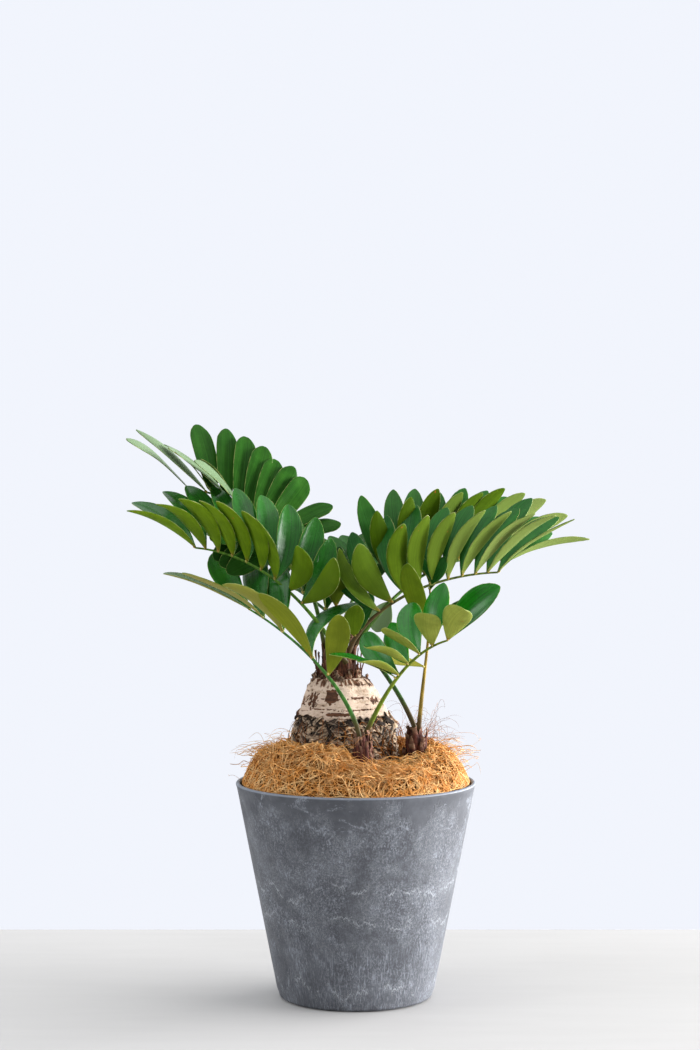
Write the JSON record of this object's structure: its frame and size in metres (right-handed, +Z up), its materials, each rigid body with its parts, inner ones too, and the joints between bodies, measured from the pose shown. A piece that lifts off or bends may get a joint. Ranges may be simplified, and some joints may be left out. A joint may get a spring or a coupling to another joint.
{
  "type": "potted cardboard palm",
  "caption": "Potted cardboard palm: arching fronds of thick blunt leaflets over a squat scarred trunk, with coconut fibre mulch in a plain tapered grey pot.",
  "frame": {"origin": "centre of the pot's flat underside, on the surface that the plant stands on", "axes": "+Z is up through the pot; -Y is the side first seen in the picture; +X is that view's right"},
  "size_m": [0.484, 0.4618, 0.5952],
  "materials": {
    "pot": "matte",
    "soil": "matte",
    "coir": "matte",
    "bark": "matte",
    "scales": "matte",
    "leaf": "satin"
  },
  "bodies": {
    "root": {"pot": "pot", "soil": "soil", "coir_mat": "coir", "trunk": "bark", "neck": "scales", "offshoot_front": "scales", "offshoot_right": "scales", "frond_left_front": "leaf", "frond_left_high": "leaf", "frond_left_low": "leaf", "frond_right_high": "leaf", "frond_right_back": "leaf", "frond_right_low": "leaf", "frond_right_small": "leaf", "frond_back_left": "leaf", "frond_centre": "leaf", "frond_back": "leaf"}
  },
  "joints": []
}
